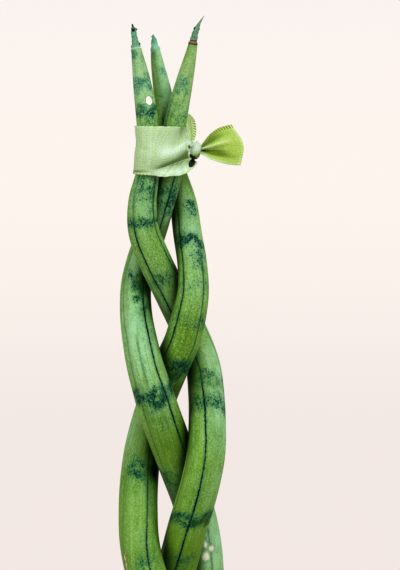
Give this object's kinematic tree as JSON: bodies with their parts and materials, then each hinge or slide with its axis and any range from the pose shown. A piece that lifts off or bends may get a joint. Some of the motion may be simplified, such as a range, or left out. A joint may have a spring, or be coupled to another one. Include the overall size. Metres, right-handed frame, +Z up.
{
  "type": "braided cylindrical snake plant in a pot",
  "caption": "Tall succulent with round pointed leaves plaited into one flat braid, tied near the top with a ribbon, rooted in soil in a plain tapered pot.",
  "frame": {"origin": "middle of the pot's foot, on the surface it stands on", "axes": "+Z up along the pot's axis, -Y towards the front, the broad face of the braid, +X to the right, where the ribbon's knot is"},
  "size_m": [0.12, 0.12, 0.5094],
  "materials": {
    "leaf_left": "satin",
    "leaf_middle": "satin",
    "leaf_right": "satin",
    "ribbon": "satin",
    "soil": "matte",
    "pot": "matte"
  },
  "bodies": {
    "root": {"leaf_left": "leaf_left", "leaf_middle": "leaf_middle", "leaf_right": "leaf_right", "ribbon": "ribbon", "soil": "soil", "pot": "pot"}
  },
  "joints": []
}
